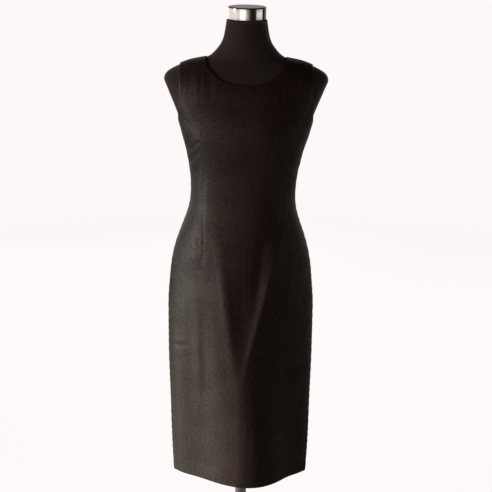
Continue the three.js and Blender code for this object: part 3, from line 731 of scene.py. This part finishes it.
# ---------------------------------------------------------------------------
# Zip slider. A small cast slider in dark enamel at the top of the closed centre-back
# zip, with a raised loop over it for the pull tab.
ZIP_TOP_Z = 1384.0
SLIDER_WIDTH, SLIDER_LENGTH, SLIDER_THICKNESS = 6.0, 10.0, 3.0
SLIDER_CORNER, SLIDER_EDGE = 1.6, 0.35
SLIDER_LIFT, SLIDER_STAND_OFF = 0.3, 0.15
ARCH_LENGTH, ARCH_WINDOW, ARCH_BAR = 7.4, 2.6, 1.2
ARCH_CORNER, ARCH_CORNER_STEPS = 1.3, 6
ARCH_ROOT = 0.8


def zip_placement():
    """Turns zip pieces, drawn flat in millimetres with Y up the seam, on to the back."""
    x, z = np.array(0.0), np.array(ZIP_TOP_Z)
    y = depth_at(x, z, "back")
    out = Vector(outward_at(x, y, z, "back"))
    up = Vector((0.0, -out.z, out.y))
    place = Vector((0.0, float(y) + SLIDER_STAND_OFF, ZIP_TOP_Z)) + out * SLIDER_LIFT
    turn = Matrix((up.cross(out), up, out)).transposed().to_4x4()
    return Matrix.Translation(place * MM) @ turn @ Matrix.Scale(MM, 4)


def metal_material(name, color, roughness, metallic, marks):
    """Metal or enamel with faint wipe marks in its gloss and tone."""
    material, nodes, links, metal = new_material(name)
    metal.inputs["Metallic"].default_value = metallic
    place = nodes.new("ShaderNodeTexCoord")
    wipe = grain(nodes, links, place.outputs["Object"], (60.0, 60.0, 240.0), 6.0)
    smoothest, roughest = max(roughness - marks, 0.02), roughness + marks
    gloss = ramp(nodes, links, wipe, 0.0, 1.0, smoothest, roughest, "LINEAR")
    links.new(gloss, metal.inputs["Roughness"])
    dulled = (*[channel * 0.93 for channel in color], 1.0)
    tone = mix_colors(nodes, links, wipe, dulled, (*color, 1.0))
    links.new(tone, metal.inputs["Base Color"])
    return material


SHARP_ANGLE = math.radians(35.0)


def finished_piece(name, bm, place, material):
    """Put a piece in place, with its faces outwards and only its sharp edges hard."""
    bmesh.ops.transform(bm, matrix=place, verts=bm.verts)
    bmesh.ops.recalc_face_normals(bm, faces=bm.faces)
    for face in bm.faces:
        face.smooth = True
    for edge in bm.edges:
        edge.smooth = edge.calc_face_angle(0.0) < SHARP_ANGLE
    return mesh_object(name, bm, material)


def round_edges(bm, edges, offset, segments):
    """Bevel some edges of a piece to a round."""
    bmesh.ops.bevel(
        bm, geom=edges, affect="EDGES", offset=offset, segments=segments, profile=0.5,
        material=-1,
    )


def square_edges(bm):
    """The edges of a piece that turn by more than 50 degrees."""
    return [edge for edge in bm.edges if edge.calc_face_angle(0.0) > math.radians(50)]


def extrude_loop(bm, edges):
    """Extrude a closed line of edges, and give the new line's points and edges."""
    grown = bmesh.ops.extrude_edge_only(bm, edges=edges)["geom"]
    points = [item for item in grown if isinstance(item, bmesh.types.BMVert)]
    fresh = set(points)
    lines = [item for item in grown if isinstance(item, bmesh.types.BMEdge)]
    return points, [line for line in lines if fresh.issuperset(line.verts)]


def arch_path():
    """The middle line of the slider's loop, from its lower foot over to its upper one."""
    rise = SLIDER_THICKNESS + ARCH_WINDOW + ARCH_BAR / 2
    reach = ARCH_LENGTH / 2 - ARCH_BAR / 2
    spring = rise - ARCH_CORNER
    path = [Vector((0, -reach, SLIDER_THICKNESS - ARCH_ROOT)), Vector((0, -reach, spring))]
    for step in range(1, ARCH_CORNER_STEPS + 1):
        turn = math.radians(90 * step / ARCH_CORNER_STEPS)
        y = -reach + ARCH_CORNER * (1 - math.cos(turn))
        path.append(Vector((0, y, spring + ARCH_CORNER * math.sin(turn))))
    return path + [Vector((0, -point.y, point.z)) for point in reversed(path)]


def add_arch(bm):
    """Add the loop to the slider: a round bar swept along its path."""
    arch = bmesh.new()
    bmesh.ops.create_circle(arch, cap_ends=False, segments=12, radius=ARCH_BAR / 2)
    path = arch_path()
    bmesh.ops.translate(arch, verts=arch.verts, vec=path[0])
    edges = list(arch.edges)
    heading = Vector((0, 0, 1))
    for k in range(1, len(path)):
        ring, edges = extrude_loop(arch, edges)
        ahead = (path[min(k + 1, len(path) - 1)] - path[k - 1]).normalized()
        turn = heading.rotation_difference(ahead)
        for vert in ring:
            vert.co = path[k] + turn @ (vert.co - path[k - 1])
        heading = ahead
    arch_mesh = bpy.data.meshes.new("arch")
    arch.to_mesh(arch_mesh)
    arch.free()
    bm.from_mesh(arch_mesh)
    bpy.data.meshes.remove(arch_mesh)


zip_place = zip_placement()
dark_enamel = metal_material("dark_enamel", (0.030, 0.024, 0.022), 0.34, 0.0, 0.08)
bm = bmesh.new()
bmesh.ops.create_cube(bm, size=1.0, matrix=Matrix.Translation(
    (0, 0, SLIDER_THICKNESS / 2)
) @ Matrix.Diagonal((SLIDER_WIDTH, SLIDER_LENGTH, SLIDER_THICKNESS, 1.0)))
corners = [edge for edge in bm.edges if abs((edge.verts[0].co - edge.verts[1].co).z) > 1.0]
round_edges(bm, corners, SLIDER_CORNER, 5)
round_edges(bm, square_edges(bm), SLIDER_EDGE, 3)
add_arch(bm)
slider = finished_piece("zip_slider_body", bm, zip_place, dark_enamel)
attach(slider, "dressed_form")
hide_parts("zip_slider")

# ---------------------------------------------------------------------------
# Zip pull tab. A flat stamped tab in the same enamel, hung by its top bar through
# the slider's loop, so that it turns outwards about the loop.
PULL_WIDTH, PULL_LENGTH, PULL_THICKNESS, PULL_BAR = 5.4, 28.0, 1.2, 1.6
PULL_HOLE_WIDTH, PULL_HOLE_LENGTH = 2.6, 5.4
PULL_SQUARENESS, PULL_EDGE = 7.0, 0.25
PULL_REST_ANGLE = math.radians(5)


def tab_outline(turn, width, length, middle):
    """A point of a rounded oblong, at an angle about its middle."""
    x, y = math.cos(turn), math.sin(turn)
    x = math.copysign(abs(x) ** (2 / PULL_SQUARENESS), x) * width / 2
    y = math.copysign(abs(y) ** (2 / PULL_SQUARENESS), y) * length / 2
    return Vector((x, middle + y, 0.0))


bm = bmesh.new()
hole_middle = PULL_LENGTH / 2 - PULL_BAR - PULL_HOLE_LENGTH / 2
for width, length, middle in (
    (PULL_WIDTH, PULL_LENGTH, 0.0),
    (PULL_HOLE_WIDTH, PULL_HOLE_LENGTH, hole_middle),
):
    outline = bmesh.ops.create_circle(bm, cap_ends=False, segments=64, radius=1.0)["verts"]
    for vert in outline:
        vert.co = tab_outline(math.atan2(vert.co.y, vert.co.x), width, length, middle)
bmesh.ops.bridge_loops(bm, edges=bm.edges)
grown = bmesh.ops.extrude_face_region(bm, geom=list(bm.faces))["geom"]
for item in grown:
    if isinstance(item, bmesh.types.BMVert):
        item.co.z += PULL_THICKNESS
bmesh.ops.recalc_face_normals(bm, faces=bm.faces)
round_edges(bm, square_edges(bm), PULL_EDGE, 2)
hang = (
    zip_place
    @ Matrix.Translation((0, 0, SLIDER_THICKNESS + ARCH_WINDOW / 2))
    @ Matrix.Rotation(PULL_REST_ANGLE, 4, "X")
    @ Matrix.Translation((0, -PULL_LENGTH / 2 + PULL_BAR / 2, -PULL_THICKNESS / 2))
)
pull = finished_piece("zip_pull_tab", bm, hang, dark_enamel)
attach(pull, "zip_pull")
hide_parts("zip_pull")

# ---------------------------------------------------------------------------
# Dress form. A limbless torso with rounded shoulder caps and a neck, covered in one
# close black jersey, closed by a flat board at the hips.
FORM_TURNS = 144
FORM_FOOT_Z = 850.0
NECK_TOP_Z = 1516.0
# levels of the form's rings: first height, height to stop below, and step
FORM_LEVELS = ((862, 1300, 11), (1300, 1369, 6), (1369, 1438, 2), (1438, 1508, 4))
# the rounded edge of the board: how far in its two rings lie, and how high it rises
FOOT_INSET, FOOT_ROUND_INSET, FOOT_ROUND = 9.0, 2.5, 6.0
NECK_INSET, NECK_ROUND = 2.0, 1.5
# the filling rounds off the line where the front half meets the back half
SIDE_ROUND_REACH, SIDE_ROUND_PASSES = 24.0, 10
SIDE_ROUND_FOOT_Z, SIDE_ROUND_TOP_Z = 870.0, NECK_TOP_Z - 8.0


def form_ring(section_z, inset=0.0, z=None):
    """One level ring of the form, counted round from the wearer's left."""
    turn = np.linspace(0.0, 2 * np.pi, FORM_TURNS, endpoint=False)
    ring = np.zeros((FORM_TURNS, 3))
    for side, chosen in (("front", np.sin(turn) <= 0), ("back", np.sin(turn) > 0)):
        angle = turn[chosen]
        power = 2 / section[side + "_round"](section_z)
        height = np.full(angle.shape, float(section_z))
        across = np.sign(np.cos(angle)) * np.abs(np.cos(angle)) ** power
        x = section["half"](section_z) * across
        y = section[side](section_z) * np.abs(np.sin(angle)) ** power
        out = outward_at(x, y, height, side)
        outside = np.stack((x + section["shift"](section_z), FACING[side] * y, height), axis=-1)
        ring[chosen] = outside - out * (section["ease"](section_z) + inset)
    if z is not None:
        ring[:, 2] = z
    return ring


def round_the_sides(bm):
    """Smooth the form beside the line between its halves."""
    at_side = [
        vert for vert in bm.verts
        if abs(vert.co.y) < SIDE_ROUND_REACH * MM
        and SIDE_ROUND_FOOT_Z * MM < vert.co.z < SIDE_ROUND_TOP_Z * MM
    ]
    for _ in range(SIDE_ROUND_PASSES):
        bmesh.ops.smooth_vert(
            bm, verts=at_side, factor=0.5, use_axis_x=True, use_axis_y=True, use_axis_z=True,
        )


def form_shape():
    """The form's cover, grown ring by ring from the board to the neck."""
    rings = [
        form_ring(FORM_FOOT_Z, FOOT_INSET, FORM_FOOT_Z),
        form_ring(FORM_FOOT_Z, FOOT_ROUND_INSET, FORM_FOOT_Z + FOOT_ROUND),
    ]
    for start, stop, step in FORM_LEVELS:
        rings += [form_ring(z) for z in np.arange(float(start), stop, step)]
    rings.append(form_ring(NECK_TOP_Z, 0.0, NECK_TOP_Z - NECK_ROUND))
    rings.append(form_ring(NECK_TOP_Z, NECK_INSET, NECK_TOP_Z))
    bm = bmesh.new()
    bmesh.ops.create_circle(bm, cap_ends=True, segments=FORM_TURNS, radius=1.0)
    loop = sorted(bm.verts, key=lambda v: math.atan2(v.co.y, v.co.x) % (2 * math.pi))
    for vert, point in zip(loop, rings[0]):
        vert.co = point * MM
    edges = list(bm.edges)
    for ring in rings[1:]:
        fresh, edges = extrude_loop(bm, edges)
        centre = sum((v.co for v in fresh), Vector()) / len(fresh)
        fresh.sort(key=lambda v: math.atan2(v.co.y - centre.y, v.co.x - centre.x) % (2 * math.pi))
        start = min(range(len(fresh)), key=lambda k: (fresh[k].co - loop[0].co).length)
        loop = fresh[start:] + fresh[:start]
        for vert, point in zip(loop, ring):
            vert.co = point * MM
    bmesh.ops.contextual_create(bm, geom=loop)
    round_the_sides(bm)
    bmesh.ops.recalc_face_normals(bm, faces=bm.faces)
    for face in bm.faces:
        face.smooth = len(face.verts) == 4
    return bm


JERSEY_DARK = (0.066, 0.0425, 0.0380, 1.0)
JERSEY_PALE = (0.104, 0.0700, 0.0625, 1.0)


def jersey_material():
    """Matte black knit with a soft bloom where it turns away."""
    material, nodes, links, cloth = new_material("black_jersey")
    set_inputs(cloth, {
        "Roughness": 0.9, "Specular IOR Level": 0.25, "Sheen Weight": 0.35,
        "Sheen Roughness": 0.55, "Sheen Tint": (0.75, 0.66, 0.62, 1.0),
    })
    place = nodes.new("ShaderNodeTexCoord").outputs["Object"]
    knit = grain(nodes, links, place, (900.0, 900.0, 1500.0), 2.0)
    cloud = grain(nodes, links, place, (26.0, 26.0, 26.0), 5.0)
    plus, times = sums(nodes, links)
    blend = plus(times(knit, 0.5), times(cloud, 0.5))
    tint = mix_colors(nodes, links, blend, JERSEY_DARK, JERSEY_PALE)
    links.new(tint, cloth.inputs["Base Color"])
    add_relief(nodes, links, cloth, knit, 0.6, 0.0003)
    return material


form_cover = mesh_object("form_jersey_cover", form_shape(), jersey_material())
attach(form_cover, "dressed_form")
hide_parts("form_body")

# ---------------------------------------------------------------------------
# Neck cap. A polished metal cap with an upright band and a low crown, pressed on
# the cut end of the neck.
CAP_RADIUS, CAP_BAND_HEIGHT, CAP_CROWN_HEIGHT = 46.5, 29.0, 31.5
FIT_GAP = 0.3
CORNER_STEPS = 4


def turned_piece(name, corners, sides, material):
    """A piece turned about the upright axis from its rounded profile, in millimetres."""
    bm = bmesh.new()
    line = [bm.verts.new((radius * MM, 0.0, height * MM)) for radius, height in rounded(corners)]
    for first, second in zip(line, line[1:]):
        bm.edges.new((first, second))
    bmesh.ops.spin(
        bm, geom=list(bm.verts) + list(bm.edges), axis=(0, 0, 1), cent=(0, 0, 0),
        steps=sides, angle=2 * math.pi, use_merge=True,
    )
    bmesh.ops.remove_doubles(bm, verts=bm.verts, dist=1e-6)
    return finished_piece(name, bm, Matrix.Identity(4), material)


def rounded(corners):
    """Radius and height pairs from rows of radius, height and how much to round."""
    line = []
    for k, (radius, height, soft) in enumerate(corners):
        corner = Vector((radius, height))
        if soft == 0 or k in (0, len(corners) - 1):
            line.append((radius, height))
            continue
        before = Vector(corners[k - 1][:2]) - corner
        after = Vector(corners[k + 1][:2]) - corner
        reach = min(soft, before.length * 0.49, after.length * 0.49)
        start = corner + before.normalized() * reach
        end = corner + after.normalized() * reach
        for step in range(CORNER_STEPS + 1):
            t = step / CORNER_STEPS
            line.append(tuple((1 - t) ** 2 * start + 2 * t * (1 - t) * corner + t**2 * end))
    return line


polished_chrome = metal_material("polished_chrome", (0.84, 0.80, 0.76), 0.15, 1.0, 0.04)
cap_foot = NECK_TOP_Z + FIT_GAP
neck_cap = turned_piece(
    "neck_cap_chrome",
    (
        (0, cap_foot, 0), (CAP_RADIUS - 1.1, cap_foot, 0), (CAP_RADIUS, cap_foot + 1.2, 0.8),
        (CAP_RADIUS, cap_foot + CAP_BAND_HEIGHT, 1.2),
        (CAP_RADIUS - 2.0, cap_foot + CAP_CROWN_HEIGHT - 0.9, 1.2),
        (30.0, cap_foot + CAP_CROWN_HEIGHT - 0.4, 6.0), (0, cap_foot + CAP_CROWN_HEIGHT, 0),
    ),
    160, polished_chrome,
)
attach(neck_cap, "dressed_form")
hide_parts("neck_cap")

# ---------------------------------------------------------------------------
# Stand. A turned steel socket is screwed under the form's board and takes the top
# of a chromed tube, whose foot stands in the hub of a heavy black plate.
POLE_RADIUS = 14.0
BORE_RADIUS = POLE_RADIUS + FIT_GAP
SOCKET_PLATE_RADIUS, SOCKET_PLATE_THICKNESS = 55.0, 8.0
SOCKET_HUB_RADIUS, SOCKET_HUB_HEIGHT = 24.0, 46.0
BASE_RADIUS, BASE_THICKNESS = 180.0, 8.0
BASE_HUB_RADIUS, BASE_HUB_HEIGHT = 30.0, 34.0

satin_black = metal_material("satin_black_enamel", (0.018, 0.018, 0.019), 0.38, 0.0, 0.07)
socket_top = FORM_FOOT_Z - FIT_GAP
plate_foot = socket_top - SOCKET_PLATE_THICKNESS
hub_foot = plate_foot - SOCKET_HUB_HEIGHT
socket = turned_piece(
    "stand_socket",
    (
        (0, plate_foot, 0), (BORE_RADIUS, plate_foot, 0), (BORE_RADIUS, hub_foot, 0),
        (SOCKET_HUB_RADIUS - 1.4, hub_foot, 1.2), (SOCKET_HUB_RADIUS, hub_foot + 2, 1.2),
        (SOCKET_HUB_RADIUS, plate_foot - 2, 3.0), (SOCKET_PLATE_RADIUS - 1, plate_foot, 1.5),
        (SOCKET_PLATE_RADIUS, plate_foot + 1.2, 1.0), (SOCKET_PLATE_RADIUS, socket_top, 0),
        (0, socket_top, 0),
    ),
    96, satin_black,
)
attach(socket, "dressed_form")
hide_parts("form_socket")

pole_chrome = metal_material("pole_chrome_plate", (0.80, 0.80, 0.80), 0.24, 1.0, 0.06)
pole_foot, pole_top = BASE_THICKNESS + FIT_GAP, plate_foot - FIT_GAP
pole = turned_piece(
    "stand_tube",
    ((0, pole_foot, 0), (POLE_RADIUS, pole_foot, 0), (POLE_RADIUS, pole_top, 0), (0, pole_top, 0)),
    72, pole_chrome,
)
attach(pole, "dressed_form")
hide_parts("stand_pole")

hub_top = BASE_THICKNESS + BASE_HUB_HEIGHT
base = turned_piece(
    "stand_plate",
    (
        (0, 0, 0), (BASE_RADIUS - 1.2, 0, 0.8), (BASE_RADIUS, 1.2, 0.8),
        (BASE_RADIUS, BASE_THICKNESS - 1.8, 1.6), (BASE_RADIUS - 3.5, BASE_THICKNESS, 2.0),
        (BASE_HUB_RADIUS + 5, BASE_THICKNESS, 3.0), (BASE_HUB_RADIUS, BASE_THICKNESS + 4, 3.0),
        (BASE_HUB_RADIUS - 4, hub_top - 1, 1.4), (BASE_HUB_RADIUS - 5.5, hub_top, 0.8),
        (BORE_RADIUS, hub_top, 0), (BORE_RADIUS, BASE_THICKNESS, 0), (0, BASE_THICKNESS, 0),
    ),
    192, satin_black,
)
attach(base, "dressed_form")
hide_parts("stand_base")

# ---------------------------------------------------------------------------
# Camera. It stands in front of the dress, above head height, and looks a little
# down, so that the cap and the hem are both seen from above.
CAMERA_PLACE = (0.0052, -3.507, 1.921)
CAMERA_TILT = math.radians(15.5)
CAMERA_ROLL = math.radians(0.8)
SENSOR_WIDTH, FOCAL_LENGTH = 36.0, 105.8
camera_data = bpy.data.cameras.new("view_camera")
camera_data.sensor_width = SENSOR_WIDTH
camera_data.lens = FOCAL_LENGTH
camera = bpy.data.objects.new("view_camera", camera_data)
bpy.context.scene.collection.objects.link(camera)
camera.matrix_world = (
    Matrix.Translation(CAMERA_PLACE)
    @ Matrix.Rotation(math.radians(90) - CAMERA_TILT, 4, "X")
    @ Matrix.Rotation(CAMERA_ROLL, 4, "Z")
)
bpy.context.scene.camera = camera

# ---------------------------------------------------------------------------
# Room. A pale floor and walls that are white to the eye and throw little light back.
# Broad soft lights stand round them: the key and a weak shoulder light at the wearer's
# right, and fills at the front, behind, and behind the wearer's left.
ROOM_WHITE = (0.991, 0.942, 0.942, 1.0)
FLOOR_RADIUS = 6.0
FLOOR_DULL = (0.28, 0.27, 0.27, 1.0)
# the floor goes from lit to plain white between these distances from the stand
FLOOR_FADE_START, FLOOR_FADE_END = 1.2, 5.6
FLOOR_GLOW, FLOOR_SHADE = 0.955, 0.13


def switched_tree(tree, output_kind):
    """Empty a tree and end it in a switch: input 1 lights the room, input 2 is seen."""
    tree.nodes.clear()
    out = tree.nodes.new(output_kind)
    seen = tree.nodes.new("ShaderNodeLightPath")
    pick = tree.nodes.new("ShaderNodeMixShader")
    tree.links.new(seen.outputs["Is Camera Ray"], pick.inputs[0])
    tree.links.new(pick.outputs[0], out.inputs["Surface"])
    return tree.nodes, tree.links, seen, pick


floor_paint = bpy.data.materials.new("pale_floor")
floor_paint.use_nodes = True
nodes, links, seen, pick = switched_tree(floor_paint.node_tree, "ShaderNodeOutputMaterial")
pale = nodes.new("ShaderNodeBsdfDiffuse")
glow = add_node(nodes, "ShaderNodeEmission", {"Color": ROOM_WHITE})
both = nodes.new("ShaderNodeAddShader")
spot = nodes.new("ShaderNodeTexCoord")
length = add_node(nodes, "ShaderNodeVectorMath", operation="LENGTH")
links.new(spot.outputs["Object"], length.inputs[0])
for near_value, far_value, socket in (
    (FLOOR_GLOW, 1.0, glow.inputs["Strength"]), (FLOOR_SHADE, 0.0, pale.inputs["Color"]),
):
    links.new(ramp(
        nodes, links, length.outputs["Value"], FLOOR_FADE_START, FLOOR_FADE_END,
        near_value, far_value,
    ), socket)
dull = add_node(nodes, "ShaderNodeBsdfDiffuse", {"Color": FLOOR_DULL})
links.new(pale.outputs[0], both.inputs[0])
links.new(glow.outputs[0], both.inputs[1])
links.new(dull.outputs[0], pick.inputs[1])
links.new(both.outputs[0], pick.inputs[2])
bm = bmesh.new()
bmesh.ops.create_circle(bm, cap_ends=True, segments=96, radius=FLOOR_RADIUS)
floor = mesh_object("studio_floor", bm, floor_paint)

world = bpy.data.worlds.new("studio")
bpy.context.scene.world = world
world.use_nodes = True
nodes, links, seen, pick = switched_tree(world.node_tree, "ShaderNodeOutputWorld")
white = add_node(nodes, "ShaderNodeBackground", {"Color": ROOM_WHITE, "Strength": 1.0})
around = nodes.new("ShaderNodeTexCoord")
parts = nodes.new("ShaderNodeSeparateXYZ")
links.new(around.outputs["Generated"], parts.inputs[0])


plus, times = sums(nodes, links)


def rise(value, *span):
    return ramp(nodes, links, value, *span)


# what the chrome and the silk see about them, by direction: a pale wall at the wearer's
# right, a narrow window at the left and a dim wall behind, each in a level band
east, north, above = parts.outputs["X"], parts.outputs["Y"], parts.outputs["Z"]
level = math_node(nodes, links, "ABSOLUTE", plus(above, 0.105), 0.0)
pale_wall = times(rise(east, -0.30, 0.42, 0.95, 0.0), rise(level, 0.04, 0.155, 1.0, 0.0))
window_band = times(rise(north, 0.18, 0.30, 1.0, 0.0), rise(level, 0.04, 0.09, 1.0, 0.0))
window = times(rise(east, 0.80, 0.90), window_band)
back_wall = times(rise(north, 0.55, 0.85), rise(level, 0.25, 0.5, 0.26, 0.05))
glow_around = plus(plus(pale_wall, window), plus(back_wall, 0.012))
# matte surfaces get 0.4 of that glow, and glossy ones all of it
not_matte = math_node(nodes, links, "SUBTRACT", 1.0, seen.outputs["Is Diffuse Ray"])
share = plus(times(not_matte, 0.60), 0.40)
dim = add_node(nodes, "ShaderNodeBackground", {"Color": (1.0, 0.93, 0.88, 1.0)})
links.new(times(glow_around, share), dim.inputs["Strength"])
links.new(dim.outputs[0], pick.inputs[1])
links.new(white.outputs[0], pick.inputs[2])

# name, place, target, width, height, power in watts, spread in degrees, colour, and
# whether glossy surfaces mirror it
for light_name, place, target, width, height, power, spread, color, mirrored in (
    ("key_light", (-2.68, -0.62, 0.44), (0.0, 0.0, -0.04), 1.2, 0.92, 9.6, 56, (1.0, 0.97, 0.94), True),
    ("shoulder_light", (-2.8, -0.45, 1.72), (-0.04, 0.0, 1.38), 0.8, 0.5, 0.30, 26, (1.0, 0.95, 0.90), True),
    ("front_fill", (-1.7, -3.6, 1.0), (0.0, 0.0, 0.8), 2.6, 1.6, 8.8, 180, (1.0, 0.93, 0.88), True),
    ("back_fill", (-0.7, 3.6, 1.15), (0.0, 0.0, 0.80), 2.4, 2.0, 36.0, 120, (1.0, 0.95, 0.91), False),
    ("side_fill", (2.3, 2.9, 1.0), (0.0, 0.0, 0.80), 2.0, 1.8, 20.0, 110, (1.0, 0.95, 0.91), False),
):
    lamp = bpy.data.lights.new(light_name, "AREA")
    lamp.shape = "RECTANGLE"
    lamp.size, lamp.size_y = width, height
    lamp.energy = power
    lamp.spread = math.radians(spread)
    lamp.color = color
    light = bpy.data.objects.new(light_name, lamp)
    bpy.context.scene.collection.objects.link(light)
    light.visible_glossy = mirrored
    aim = Vector(target) - Vector(place)
    light.matrix_world = Matrix.Translation(place) @ aim.to_track_quat("-Z", "Y").to_matrix().to_4x4()

bpy.context.scene.view_settings.view_transform = "Standard"
